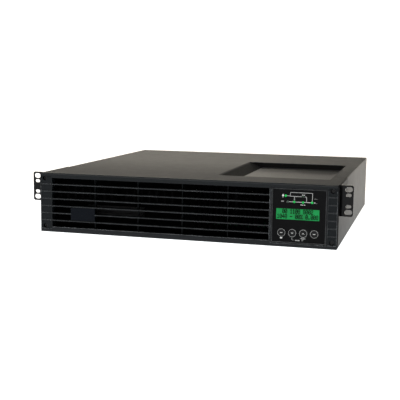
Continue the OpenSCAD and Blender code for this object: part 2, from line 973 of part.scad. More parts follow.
module fan_screws() {
    color("silver") placed()
        for (x = fan_x, sx = [-1, 1], sz = [-1, 1])
            translate([x + sx * fan_bolt, back_y + 1.2, fan_z + sz * fan_bolt])
                rotate([0, 0, 180]) screw(3.6, 2.4, 2, 20);
}

// Side view of the bezel with round front edges
module bezel_side() {
    translate([bezel_r, foot_r]) square([bezel_d - bezel_r, bezel_h - foot_r]);
    translate([0, foot_r]) square([bezel_d, bezel_h - bezel_r - foot_r]);
    translate([foot_r, 0]) square([bezel_d - foot_r, 2 * foot_r]);
    translate([foot_r, foot_r]) circle(foot_r);
    translate([bezel_r, bezel_h - bezel_r]) circle(bezel_r);
}

// Height of one of the slats
function slat_z(i) = slat_mid_z + (i - (slats - 1) / 2) * slat_pitch;

// Slat with a round front edge between two places
module slat(x0, x1, z, depth) {
    translate([x0, 0, z]) rotate([90, 0, 90]) linear_extrude(x1 - x0) {
        translate([slat_t / 2, 0]) circle(slat_t / 2);
        translate([slat_t / 2, -slat_t / 2]) square([depth - slat_t / 2, slat_t]);
    }
}

module front_bezel() {
    half = bezel_w / 2;
    // Left edge of the opening for the display module
    open_x0 = module_x - module_open / 2;
    // Right edge of the opening for the display module
    open_x1 = module_x + module_open / 2;
    color("dimgray") placed() difference() {
        union() {
            difference() {
                translate([-half, 0, 0]) rotate([90, 0, 90]) linear_extrude(bezel_w)
                    bezel_side();
                box([-half + bezel_wall, bezel_wall, bezel_wall],
                    [half - bezel_wall, bezel_d + over, bezel_h - bezel_wall]);
                box([grille_x0, -over, grille_z0], [grille_x1, bezel_d, grille_z1]);
                // Shallow strips at both ends
                box([-half + strip_rim, -over, strip_z0],
                    [grille_x0 - strip_gap, strip_set, strip_z1]);
                box([open_x1 + strip_gap, -over, strip_z0],
                    [half - strip_rim, strip_set, strip_z1]);
            }
            // Frame round the grille
            difference() {
                box([grille_x0 - bezel_wall, bezel_wall / 2, grille_z0 - bezel_wall],
                    [grille_x1 + bezel_wall, slat_d, grille_z1 + bezel_wall]);
                box([grille_x0, -over, grille_z0], [grille_x1, bezel_d, grille_z1]);
            }
            // Collar round the display module
            difference() {
                box([open_x0 - bezel_wall / 2, bezel_wall / 2, bezel_wall / 2],
                    [open_x1 + bezel_wall, bezel_d, bezel_h - bezel_wall / 2]);
                box([open_x0, -over, module_z - module_open / 2],
                    [open_x1, bezel_d + over, module_z + module_open / 2]);
            }
            for (i = [0:slats - 1]) {
                slat(grille_x0 - over, grille_x1 + over, slat_z(i), slat_d);
                slat(-half + strip_rim, grille_x0 - strip_gap, slat_z(i), bezel_wall);
                slat(open_x1 + strip_gap, half - strip_rim, slat_z(i), bezel_wall);
            }
            for (i = [0:ribs - 1])
                box([rib_x0 + i * rib_pitch - rib_t / 2, rib_set, grille_z0 - over],
                    [rib_x0 + i * rib_pitch + rib_t / 2, slat_d, grille_z1 + over]);
            // Seat of the badge plate
            box([badge_x - badge_w / 2 + 1, badge_t, badge_z - badge_h / 2 + 1],
                [badge_x + badge_w / 2 - 1, badge_t + 2, badge_z + badge_h / 2 - 1]);
            // Bosses of the screws with their webs
            for (s = [-1, 1]) {
                for (z = [bolt_z0, bolt_z1])
                    rod([s * bolt_x, bezel_wall / 2, z], boss_r, bezel_d - bezel_wall / 2);
                for (ends = [[bezel_wall / 2, bolt_z0], [bolt_z1, bezel_h - bezel_wall / 2]])
                    box([s * bolt_x - 1, bezel_wall / 2, ends[0]],
                        [s * bolt_x + 1, bezel_d - 1, ends[1]]);
            }
        }
        // Opening for the display module
        box([open_x0, -over, module_z - module_open / 2],
            [open_x1, bezel_d + over, module_z + module_open / 2]);
        // Pocket of the badge plate
        box([badge_x - badge_w / 2 - 0.1, -over, badge_z - badge_h / 2 - 0.1],
            [badge_x + badge_w / 2 + 0.1, badge_t, badge_z + badge_h / 2 + 0.1]);
        // Grooves along the rear edges of both ends
        for (s = [-1, 1])
            translate([s * half, bezel_d, bezel_h / 2])
                cube([2 * groove_d, 2 * groove_w, bezel_h + 2 * over], center = true);
        for (s = [-1, 1], z = [bolt_z0, bolt_z1]) {
            rod([s * bolt_x, -over, z], bolt_head_r + 0.8, bolt_sink + over);
            rod([s * bolt_x, -over, z], bolt_r + 0.2, bezel_d + 2 * over);
        }
    }
}

module badge_plate() {
    color("midnightblue") placed() translate([badge_x, 0, badge_z])
        upright(0, badge_t) round_rect(badge_w, badge_h, 0.8);
}

module bezel_screws() {
    color("silver") placed()
        for (s = [-1, 1], z = [bolt_z0, bolt_z1])
            translate([s * bolt_x, bolt_sink, z])
                screw(bolt_head_r, 2.2, bolt_r, panel_back - bolt_sink);
}

// Width of the module's rim
rim_w = 1.4;

// Places inside the display module, from the middle of the unit's front
module on_module(x, z) {
    translate([module_x, 0, module_z]) translate([x, 0, z]) children();
}

// Positions of the four push buttons in the module
button_x = [-0.311, -0.113, 0.087, 0.286] * module_s;
// Height of the push buttons in the module
button_z = -0.3125 * module_s;
// Positions of the lit lamps in the module
lit = [[-0.246, 0.365], [-0.089, 0.258], [0.07, 0.255], [0.232, 0.258]] * module_s;
// Positions of the unlit lamps in the module
unlit = [[0.069, 0.367], [-0.203, 0.258]] * module_s;
// Radius of the lamps
lamp_r = 1.6;
// Width of the display glass
lcd_w = 0.784 * module_s;
// Height of the display glass
lcd_h = 0.2 * module_s;
// Middle of the display glass in the module
lcd_x = -0.0235 * module_s;
// Height of the middle of the display glass in the module
lcd_z = 0.0305 * module_s;
// Thickness of the module's side walls behind the front plate
module_wall = 1.5;
// Side of the space inside the module
module_inner = module_s - 2 * rim_w - 2 * module_wall;
// Distance of the front plate's posts from the middle of the module
fascia_post = module_inner / 2 - 3.9;
// Thickness of the module's front plate
fascia_t = 1.6;
// Front of the module's front plate
fascia_y = module_y + 0.4;
// Back of the module's front plate
fascia_back = fascia_y + fascia_t;
// Front of the board inside the module
lamp_board_y = fascia_back + 9.2;
// End of the button stems
stem_y = lamp_board_y - 3.6 - button_travel - 0.1;

module display_housing() {
    color("black") placed() difference() {
        upright(module_y, module_y + module_d) translate([module_x, module_z])
            square(module_s, center = true);
        upright(module_y - over, fascia_back) translate([module_x, module_z])
            square(module_s - 2 * rim_w, center = true);
        upright(module_y, module_y + module_d - 2) translate([module_x, module_z])
            square(module_inner, center = true);
        box([module_x - 12, module_y + module_d - 2 - over, module_z - 4],
            [module_x + 12, module_y + module_d + over, module_z + 4]);
    }
}

module display_fascia() {
    color("black") placed() difference() {
        union() {
            on_module(0, 0) upright(fascia_y, fascia_back)
                square(module_s - 2 * rim_w - 0.2, center = true);
            for (sx = [-1, 1], sz = [-1, 1])
                on_module(sx * fascia_post, sz * fascia_post)
                    rod([0, fascia_back, 0], 2.4, lamp_board_y - fascia_back);
        }
        on_module(lcd_x, lcd_z) upright(fascia_y - over, fascia_back + over)
            square([lcd_w, lcd_h], center = true);
        for (x = button_x)
            on_module(x, button_z) rod([0, fascia_y - over, 0], button_r + seam, 4);
        for (p = concat(lit, unlit))
            on_module(p[0], p[1]) rod([0, fascia_y - over, 0], lamp_r + 0.1, 4);
    }
}

module lcd_panel() {
    color("limegreen") placed() on_module(lcd_x, lcd_z) {
        upright(fascia_y + 0.4, fascia_back) square([lcd_w - 0.2, lcd_h - 0.2], center = true);
        upright(fascia_back, lamp_board_y) square([lcd_w + 6, lcd_h + 6], center = true);
    }
}

// One lamp with its round front
module lamp(p) {
    on_module(p[0], p[1]) rod([0, fascia_y - 0.3, 0], lamp_r, lamp_board_y - fascia_y + 0.3);
}

module status_leds() {
    color("lime") placed() for (p = lit) lamp(p);
}

module idle_leds() {
    color("gray") placed() for (p = unlit) lamp(p);
}

module display_board() {
    color("darkgreen") placed() on_module(0, 0)
        upright(lamp_board_y, lamp_board_y + board_t) square(module_inner - 2, center = true);
}

module button_switches() {
    color("silver") placed()
        for (x = button_x)
            on_module(x, button_z) {
                upright(lamp_board_y - 2.6, lamp_board_y) square(6, center = true);
                rod([0, lamp_board_y - 3.6, 0], 1.7, 1);
            }
}

// One push button with its collar and stem
module push_button(x) {
    color("black") placed() on_module(x, button_z) {
        rod([0, fascia_y - 0.4, 0], button_r, fascia_t + 0.4 + seam);
        rod([0, fascia_back + seam, 0], button_r + 0.9, 1);
        rod([0, fascia_back + seam, 0], 2, stem_y - fascia_back - seam);
    }
}

module button_on() {
    push_button(button_x[0]);
}

module button_down() {
    push_button(button_x[1]);
}

module button_up() {
    push_button(button_x[2]);
}

module button_off() {
    push_button(button_x[3]);
}

module battery_tray() {
    x0 = tray_x - tray_w / 2;
    x1 = tray_x + tray_w / 2;
    color("silver") placed() difference() {
        union() {
            box([x0, plate_y, tray_z], [x1, tray_end, tray_z + sheet]);
            for (x = [x0, x1 - sheet])
                box([x, plate_y, tray_z], [x + sheet, tray_end, tray_z + tray_side_h]);
            box([x0, tray_end - sheet, tray_z], [x1, tray_end, tray_z + tray_side_h + 8]);
            box([x0 - 2.5, plate_y - sheet, tray_z], [x1 + 2.5, plate_y, plate_top]);
        }
        for (s = [-1, 1])
            rod([tray_x + s * plate_bolt_x, plate_y - sheet - over, plate_bolt_z], 1.6, 4);
        // Notches round the posts of the bezel screws
        for (z = [bolt_z0, bolt_z1])
            rod([-bolt_x, plate_y - sheet - over, z], post_r + free_gap, 2 * over + sheet);
        // Air slots in the front plate
        for (i = [0:floor((tray_w - 14) / 11.8) - 1])
            translate([x0 + 9 + i * 11.8, plate_y - sheet - over, plate_top - 35.2])
                cube([5, sheet + 2 * over, 18]);
    }
}

// One battery, its terminals facing the wiring gap
module battery(i) {
    side = i % 2 == 0 ? -1 : 1;
    y0 = plate_y + 3 + floor(i / 2) * (battery_l + 1);
    z0 = tray_z + sheet;
    // Face of the battery on the side of the wiring gap
    x_in = tray_x + side * wire_gap / 2;
    color("darkslategray") placed() translate([x_in, y0, z0]) mirror([side < 0 ? 1 : 0, 0, 0]) {
        difference() {
            box([0, 0, 0], [battery_h, battery_l, battery_w]);
            // Seam between the case and its lid
            difference() {
                box([12, -over, -over], [12.8, battery_l + over, battery_w + over]);
                box([11, 0.6, 0.6], [13, battery_l - 0.6, battery_w - 0.6]);
            }
        }
        for (y = [14, battery_l - 14])
            box([-4.5, y - 3.2, battery_w / 2 - 0.4], [0, y + 3.2, battery_w / 2 + 0.4]);
    }
}

module battery_1() {
    battery(0);
}

module battery_2() {
    battery(1);
}

module battery_3() {
    battery(2);
}

module battery_4() {
    battery(3);
}

module tray_strap() {
    // Front face of the tray's plate
    y0 = plate_y - sheet;
    color("black") placed() {
        box([tray_x - 44, y0 - 3.2, 28], [tray_x + 44, y0 - 1.6, 42]);
        for (s = [-1, 1])
            translate([tray_x + s * 40, 0, 0]) box([-5, y0 - 1.6, 28], [5, y0, 42]);
    }
}

module tray_screws() {
    color("silver") placed()
        for (s = [-1, 1])
            translate([tray_x + s * plate_bolt_x, plate_y - sheet, plate_bolt_z])
                screw(4.2, 3, 1.5, 6);
}

chassis_base();
top_cover();
front_panel();
rear_panel();
port_panel();
power_panel();
ear_left();
ear_right();
ear_screws();
cover_screws();
battery_bay();
tray_runners();
display_well();
main_board();
board_standoffs();
heat_sinks();
inductors();
bulk_capacitors();
bay_connector();
outlet_1();
outlet_2();
outlet_3();
outlet_4();
power_inlet();
breaker();
serial_port();
usb_port();
slot_cover();
slot_screws();
battery_socket();
fan_frame_1();
fan_frame_2();
fan_guard_1();
fan_guard_2();
fan_screws();
fan_rotor_1();
fan_rotor_2();
breaker_button();
front_bezel();
badge_plate();
bezel_screws();
display_housing();
display_fascia();
lcd_panel();
status_leds();
idle_leds();
display_board();
button_switches();
button_on();
button_down();
button_up();
button_off();
battery_tray();
battery_1();
battery_2();
battery_3();
battery_4();
tray_strap();
tray_screws();
tray_connector();
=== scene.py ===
import math

import bmesh
import bpy
from mathutils import Matrix, Vector


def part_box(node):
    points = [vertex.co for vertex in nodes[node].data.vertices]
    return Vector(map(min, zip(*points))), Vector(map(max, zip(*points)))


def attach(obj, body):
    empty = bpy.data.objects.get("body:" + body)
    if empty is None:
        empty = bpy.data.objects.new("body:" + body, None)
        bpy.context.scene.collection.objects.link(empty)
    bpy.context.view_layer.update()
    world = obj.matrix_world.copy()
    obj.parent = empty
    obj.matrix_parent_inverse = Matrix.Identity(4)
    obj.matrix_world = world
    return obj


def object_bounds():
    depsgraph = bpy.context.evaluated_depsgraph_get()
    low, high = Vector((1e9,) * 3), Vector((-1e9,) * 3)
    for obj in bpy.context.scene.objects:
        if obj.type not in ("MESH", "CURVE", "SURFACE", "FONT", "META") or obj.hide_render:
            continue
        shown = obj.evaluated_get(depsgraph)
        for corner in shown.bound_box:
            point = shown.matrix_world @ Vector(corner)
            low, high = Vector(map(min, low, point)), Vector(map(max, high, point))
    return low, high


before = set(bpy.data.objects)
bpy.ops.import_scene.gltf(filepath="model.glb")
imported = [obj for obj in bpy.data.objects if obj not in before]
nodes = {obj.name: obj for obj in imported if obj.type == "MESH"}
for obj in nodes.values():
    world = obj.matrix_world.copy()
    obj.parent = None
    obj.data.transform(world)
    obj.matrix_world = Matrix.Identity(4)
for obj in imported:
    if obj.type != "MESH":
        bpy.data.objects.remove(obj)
cad_low, cad_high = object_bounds()

MM = 0.001
# Depth of the bezel's face in metres, counted from the middle of the unit's depth
FRONT = cad_low[1]
# The case paint is duller over this length behind the face, in metres
FADE_LENGTH = 0.26

# Sizes in millimetres, for the parts of a surface that have a finish, painted shade or painted light of
# their own
BEZEL_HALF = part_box("front_bezel")[1].x / MM
BEZEL_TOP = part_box("front_bezel")[1].z / MM
COVER_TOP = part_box("top_cover")[1].z / MM
END_WIDTH = 18.5        # ridged end of the bezel
STRIP_DEPTH = 1.0       # floor of the ridged ends, behind the face
SUNK_DEPTH = 8.5        # sunk panel of the cover
UPRIGHT = 1.2           # width of the uprights between the ridged ends and the openings
UPRIGHTS = (BEZEL_HALF - END_WIDTH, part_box("display_housing")[1].x / MM + 0.3)
EAR_PLATE = 2.5         # thickness of the ears, with a little room
EAR_BACK = (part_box("ear_right")[0].y - FRONT) / MM + EAR_PLATE


# ---------------------------------------------------------------- materials
class Shader:
    """A small builder for one procedural material."""

    def __init__(self, name):
        self.mat = bpy.data.materials.new(name)
        self.mat.use_nodes = True
        self.tree = self.mat.node_tree
        self.tree.nodes.clear()
        self.out = self.add("ShaderNodeOutputMaterial")
        self.bsdf = self.add("ShaderNodeBsdfPrincipled")
        self.link(self.bsdf, "BSDF", self.out, "Surface")
        self.coord = self.add("ShaderNodeTexCoord")

    def add(self, kind, **values):
        """A new node of this kind with these settings."""
        node = self.tree.nodes.new(kind)
        for key, value in values.items():
            setattr(node, key, value)
        return node

    def link(self, a, out, b, into):
        self.tree.links.new(a.outputs[out], b.inputs[into])

    def place(self, stretch=(1, 1, 1)):
        """The piece's own coordinates in metres, stretched."""
        mapping = self.add("ShaderNodeMapping")
        mapping.inputs["Scale"].default_value = stretch
        self.link(self.coord, "Object", mapping, "Vector")
        return mapping

    def noise(self, scale, detail=4, rough=0.55, stretch=(1, 1, 1), twist=0.0):
        node = self.add("ShaderNodeTexNoise")
        node.inputs["Scale"].default_value = scale
        node.inputs["Detail"].default_value = detail
        node.inputs["Roughness"].default_value = rough
        node.inputs["Distortion"].default_value = twist
        self.link(self.place(stretch), "Vector", node, "Vector")
        return node

    def span(self, source, out, low, high, from_low=0.0, from_high=1.0):
        """A value carried over from one range to another."""
        node = self.add("ShaderNodeMapRange")
        for name, value in (("From Min", from_low), ("From Max", from_high),
                            ("To Min", low), ("To Max", high)):
            node.inputs[name].default_value = value
        self.link(source, out, node, "Value")
        return node

    def grade(self, noise, low, high, middle=(0.35, 0.65)):
        """The middle of a noise, spread from low to high."""
        return self.span(noise, "Fac", low, high, *middle)

    def mix(self, a, b, fac):
        """Between two colours or nodes, by a share or a node."""
        node = self.add("ShaderNodeMix", data_type="RGBA")
        for slot, value in ((6, a), (7, b)):
            if isinstance(value, tuple):
                node.inputs[slot].default_value = value if len(value) == 4 else (*value, 1)
            else:
                self.tree.links.new(value.outputs[0 if value.type != "MIX" else 2], node.inputs[slot])
        if isinstance(fac, (int, float)):
            node.inputs[0].default_value = fac
        else:
            self.tree.links.new(fac.outputs[0], node.inputs[0])
        return node

    def colour(self, node):
        out = node.outputs[2 if node.type == "MIX" else 0]
        self.tree.links.new(out, self.bsdf.inputs["Base Color"])

    def rough(self, node):
        self.tree.links.new(node.outputs[0], self.bsdf.inputs["Roughness"])

    def edges(self, radius):
        """A normal that rounds the sharp edges, and a mask that is 1 on them."""
        bevel = self.add("ShaderNodeBevel", samples=6)
        bevel.inputs["Radius"].default_value = radius
        face = self.add("ShaderNodeNewGeometry")
        dot = self.add("ShaderNodeVectorMath", operation="DOT_PRODUCT")
        self.link(bevel, "Normal", dot, 0)
        self.link(face, "Normal", dot, 1)
        mask = self.add("ShaderNodeMapRange")
        mask.inputs["From Min"].default_value = 0.995
        mask.inputs["From Max"].default_value = 0.8
        self.link(dot, "Value", mask, "Value")
        return bevel, mask

    def bump(self, heights, normal=None):
        """Each height is (node, output, strength, depth)."""
        last = normal
        for node, out, strength, depth in heights:
            bump = self.add("ShaderNodeBump")
            bump.inputs["Strength"].default_value = strength
            bump.inputs["Distance"].default_value = depth
            self.link(node, out, bump, "Height")
            if last is not None:
                self.link(last, "Normal", bump, "Normal")
            last = bump
        if last is not None:
            self.link(last, "Normal", self.bsdf, "Normal")

    def set(self, **values):
        for name, value in values.items():
            self.bsdf.inputs[name.replace("_", " ")].default_value = value

    def patch(self, colour, rough, shine, **limits):
        """Another finish over a part of the surface; some of these patches are painted shade or painted
        light.

        Each limit is a pair: where the finish sets in and where it is full; a second pair ends it.
        x counts from the middle to both sides, y from the face of the unit, z from its foot, all
        in millimetres; up is the upward share of the surface's normal.
        """
        other = self.add("ShaderNodeBsdfPrincipled")
        grain = self.noise(1400, rough=0.6)
        tone = self.mix(colour, tuple(c * 1.5 for c in colour), self.grade(grain, 0, 1))
        self.tree.links.new(tone.outputs[2], other.inputs["Base Color"])
        self.link(self.grade(grain, rough - 0.05, rough + 0.05), "Result", other, "Roughness")
        other.inputs["Specular IOR Level"].default_value = shine
        place = self.add("ShaderNodeSeparateXYZ")
        self.link(self.coord, "Object", place, "Vector")
        aside = self.add("ShaderNodeMath", operation="ABSOLUTE")
        self.link(place, "X", aside, 0)
        facing = self.add("ShaderNodeSeparateXYZ")
        self.link(self.add("ShaderNodeNewGeometry"), "True Normal", facing, "Vector")
        sources = {"x": (aside, "Value", 0.0, MM), "y": (place, "Y", FRONT, MM),
                   "z": (place, "Z", 0.0, MM), "up": (facing, "Z", 0.0, 1.0)}
        share = None
        ramps = [(axis, pair) for axis, ends in limits.items() for pair in zip(ends[::2], ends[1::2])]
        for axis, (start, end) in ramps:
            node, out, base, unit = sources[axis]
            part = self.span(node, out, 0.0, 1.0, base + start * unit, base + end * unit)
            if share:
                both = self.add("ShaderNodeMath", operation="MULTIPLY")
                self.link(share[0], share[1], both, 0)
                self.link(part, "Result", both, 1)
                share = (both, "Value")
            else:
                share = (part, "Result")
        layers = self.add("ShaderNodeMixShader")
        self.link(share[0], share[1], layers, 0)
        self.tree.links.new(self.out.inputs["Surface"].links[0].from_socket, layers.inputs[1])
        self.link(other, "BSDF", layers, 2)
        self.link(layers, "Shader", self.out, "Surface")


def moulded(name, base, lift, rough=(0.42, 0.56), grain=2600, depth=0.00006, edge=0.0004,
            shine=0.5, metal=0.0, strength=0.35, edge_wear_and_highlight=None, blotch=7, fade=0.0, patches=()):
    """Painted or moulded surface: fine grain, slow colour change, worn edges lightened partly by wear
    and partly by a painted highlight.
    """
    s = Shader(name)
    slow = s.noise(blotch, 3, 0.5)
    fine = s.noise(grain, 3, 0.6)
    dust = s.noise(60, 8, 0.7, twist=0.4)
    tone = s.mix(base, lift, s.grade(slow, 0.0, 1.0))
    tone = s.mix(tone, tuple(min(1, c * 1.35 + 0.004) for c in lift),
                 s.grade(dust, 0.0, 0.35, (0.5, 0.8)))
    bevel, mask = s.edges(edge)
    # Lighter edges: the dust noise gives wear, and the edge colour is also a painted highlight where
    # light would catch the rounded edges.
    light = edge_wear_and_highlight or tuple(min(1, c * 1.6 + 0.01) for c in lift)
    scuff_and_highlight = s.add("ShaderNodeMath", operation="MULTIPLY")
    s.link(mask, "Result", scuff_and_highlight, 0)
    s.link(s.grade(dust, 0.15, 0.9), "Result", scuff_and_highlight, 1)
    tone = s.mix(tone, light, scuff_and_highlight)
    s.colour(tone)
    sheen = s.grade(dust, rough[0], rough[1], (0.3, 0.7))
    if fade:
        # Duller towards the front, where hands and dust wear the paint
        place = s.add("ShaderNodeSeparateXYZ")
        s.link(s.coord, "Object", place, "Vector")
        worn_off = s.span(place, "Y", fade, 0.0, FRONT, FRONT + FADE_LENGTH)
        both = s.add("ShaderNodeMath", operation="ADD")
        s.link(sheen, "Result", both, 0)
        s.link(worn_off, "Result", both, 1)
        sheen = both
    s.rough(sheen)
    s.bump([(fine, "Fac", strength, depth)], bevel)
    s.set(Metallic=metal, Specular_IOR_Level=shine)
    for finish, limits in patches:
        s.patch(*finish, **limits)
    return s.mat


def brushed(name, base, lift, rough=(0.28, 0.42), stretch=(30, 900, 900), metal=1.0, edge=0.0003):
    """Rolled or ground sheet: long fine scratches and soft stains."""
    s = Shader(name)
    lines = s.noise(1.6, 5, 0.7, stretch)
    stain = s.noise(14, 5, 0.6, twist=0.6)
    tone = s.mix(base, lift, s.grade(lines, 0.0, 1.0, (0.3, 0.7)))
    tone = s.mix(tone, tuple(c * 0.72 for c in base), s.grade(stain, 0.0, 0.5, (0.5, 0.75)))
    bevel, mask = s.edges(edge)
    # Lighter edges: a painted highlight on the rounded edges, partly also wear.
    tone = s.mix(tone, tuple(min(1, c * 1.15) for c in lift), mask)
    s.colour(tone)
    s.rough(s.grade(lines, rough[0], rough[1], (0.3, 0.7)))
    s.bump([(lines, "Fac", 0.2, 0.00003)], bevel)
    s.set(Metallic=metal)
    return s.mat


def spangled(name, base, lift):
    """Zinc-coated steel with its crystal pattern."""
    s = Shader(name)
    cells = s.add("ShaderNodeTexVoronoi", feature="F1")
    cells.inputs["Scale"].default_value = 160
    s.link(s.place(), "Vector", cells, "Vector")
    grey = s.add("ShaderNodeSeparateColor")
    s.link(cells, "Color", grey, "Color")
    fine = s.noise(900, 4, 0.6)
    stain = s.noise(9, 5, 0.6, twist=0.5)
    tone = s.mix(base, lift, s.span(grey, "Red", 0.0, 1.0))
    tone = s.mix(tone, tuple(c * 0.7 for c in base), s.grade(stain, 0.0, 0.45, (0.5, 0.75)))
    bevel, mask = s.edges(0.0003)
    s.colour(tone)
    s.rough(s.span(grey, "Green", 0.3, 0.5))
    s.bump([(fine, "Fac", 0.1, 0.00002)], bevel)
    s.set(Metallic=1.0)
    return s.mat


def glowing(name, base, light, power):
    """Lit lens or display: glow with soft unevenness."""
    s = Shader(name)
    soft = s.noise(35, 3, 0.5)
    fine = s.noise(1800, 2, 0.5)
    tone = s.mix(base, light, s.grade(soft, 0.1, 0.6, (0.3, 0.7)))
    s.colour(tone)
    glow = s.mix(tuple(c * 0.86 for c in light), light, s.grade(soft, 0.0, 1.0))
    s.tree.links.new(glow.outputs[2], s.bsdf.inputs["Emission Color"])
    s.tree.links.new(s.grade(soft, power * 0.92, power * 1.06, (0.3, 0.7)).outputs[0],
                     s.bsdf.inputs["Emission Strength"])
    s.rough(s.grade(soft, 0.12, 0.24, (0.3, 0.7)))
    s.bump([(fine, "Fac", 0.08, 0.00002)])
    s.set(Specular_IOR_Level=0.08)
    return s.mat


def woven(name, base, lift):
    """Webbing with crossed threads."""
    s = Shader(name)
    heights = []
    for along, scale in (("X", 900), ("Z", 700)):
        wave = s.add("ShaderNodeTexWave", bands_direction=along)
        wave.inputs["Scale"].default_value = scale / math.tau
        wave.inputs["Distortion"].default_value = 1.2
        s.link(s.coord, "Object", wave, "Vector")
        heights.append((wave, "Fac", 0.6, 0.0002))
    fuzz = s.noise(1500, 5, 0.7)
    tone = s.mix(base, lift, s.span(heights[0][0], "Fac", 0.0, 0.8))
    tone = s.mix(tone, tuple(min(1, c * 1.5) for c in lift), s.grade(fuzz, 0, 0.4, (0.5, 0.8)))
    s.colour(tone)
    s.rough(s.span(fuzz, "Fac", 0.75, 0.95))
    s.bump(heights)
    return s.mat


def wound(name, base, lift):
    """Enamelled copper wire wound round a ring."""
    s = Shader(name)
    wave = s.add("ShaderNodeTexWave", bands_direction="Z")
    wave.inputs["Scale"].default_value = 120
    wave.inputs["Distortion"].default_value = 3.0
    s.link(s.coord, "Object", wave, "Vector")
    tone = s.mix(base, lift, s.span(wave, "Fac", 0.0, 1.0))
    s.colour(tone)
    s.rough(s.span(wave, "Fac", 0.25, 0.45))
    s.bump([(wave, "Fac", 0.8, 0.0005)])
    s.set(Metallic=0.85)
    return s.mat


def etched_board(name):
    """Green circuit board with darker tracks and pale pads."""
    s = Shader(name)
    bricks = s.add("ShaderNodeTexBrick")
    bricks.inputs["Scale"].default_value = 130
    bricks.inputs["Mortar Size"].default_value = 0.03
    bricks.inputs["Color1"].default_value = (0.01, 0.13, 0.05, 1)
    bricks.inputs["Color2"].default_value = (0.008, 0.09, 0.035, 1)
    bricks.inputs["Mortar"].default_value = (0.02, 0.22, 0.09, 1)
    s.link(s.coord, "Object", bricks, "Vector")
    pads = s.add("ShaderNodeTexVoronoi", feature="F1")
    pads.inputs["Scale"].default_value = 240
    s.link(s.coord, "Object", pads, "Vector")
    tone = s.mix(bricks, (0.55, 0.53, 0.45), s.span(pads, "Distance", 1.0, 0.0, 0.10, 0.16))
    s.colour(tone)
    s.rough(s.span(s.noise(90, 4), "Fac", 0.25, 0.45))
    s.bump([(bricks, "Fac", 0.3, 0.00005)])
    return s.mat


def rgb(r, g, b):
    """Scene values for a colour given as a screen shows it."""
    def lin(v):
        v /= 255
        return v / 12.92 if v <= 0.04045 else ((v + 0.055) / 1.055) ** 2.4
    return (lin(r), lin(g), lin(b))


# Parts of a surface with a finish of their own, some of them painted shade and painted light:
# (colour, roughness, shine) and the limits of Shader.patch. These are chosen to match how the photo
# shows them.
ON_FACE = (0.6, 0.3)
BELOW_TOP = (BEZEL_TOP - 5, BEZEL_TOP - 6)
CLEAR_OF_SIDES = (BEZEL_HALF - 10, BEZEL_HALF - 14)
# Painted shade: the walls of the cover's sunk panel are painted near-black where the shade of the recess
# falls.
SUNK_WALLS_PAINTED_SHADE = ((rgb(10, 10, 9), 0.6, 0.08),
              {"x": CLEAR_OF_SIDES, "z": (COVER_TOP - 0.4, COVER_TOP - 1.2)})
# Painted light: the floor of the sunk panel is painted lighter than the cover, for the light it catches.
SUNK_FLOOR_PAINTED_LIGHT = ((rgb(30, 29, 27), 0.42, 0.5),
              {"x": CLEAR_OF_SIDES, "up": (0.965, 0.985),
               "z": (COVER_TOP - SUNK_DEPTH + 0.6, COVER_TOP - SUNK_DEPTH + 0.2)})
EAR_FLANGE = ((rgb(20, 19, 18), 0.6, 0.25), {"y": (EAR_BACK, EAR_BACK + 0.5)})
STRIP_FLOOR = ((rgb(13, 16, 18), 0.5, 0.12), {"y": (STRIP_DEPTH - 0.3, STRIP_DEPTH - 0.05)})
CALM_FACE = (rgb(11, 14, 16), 0.5, 0.18)
TOP_BAND = (CALM_FACE, {"y": ON_FACE, "z": (BEZEL_TOP - 8.4, BEZEL_TOP - 7.8)})
CALM_UPRIGHTS = tuple((CALM_FACE, {"y": ON_FACE, "x": (x - 0.3, x, x + UPRIGHT + 0.3, x + UPRIGHT)})
                      for x in UPRIGHTS)
# Painted shade: the counterbores round the bezel's screws and the deeper parts of its ridged ends are
# painted near-black.
SCREW_RECESS_PAINTED_SHADE = ((rgb(3, 4, 4), 0.8, 0.02),
                {"x": (BEZEL_HALF - 13, BEZEL_HALF - 12), "z": BELOW_TOP,
                 "y": (STRIP_DEPTH + 0.2, STRIP_DEPTH + 0.6)})
# Painted shade: upward faces behind the bezel's face, such as the slat tops inside the grille, are
# painted near-black.
SLAT_TOPS_PAINTED_SHADE = ((rgb(4, 5, 5), 0.8, 0.02), {"y": (1.3, 2.6), "z": BELOW_TOP, "up": (0.3, 0.7)})
BEZEL_SIDES = ((rgb(16, 17, 18), 0.9, 0.03), {"x": (BEZEL_HALF - 0.5, BEZEL_HALF - 0.1)})

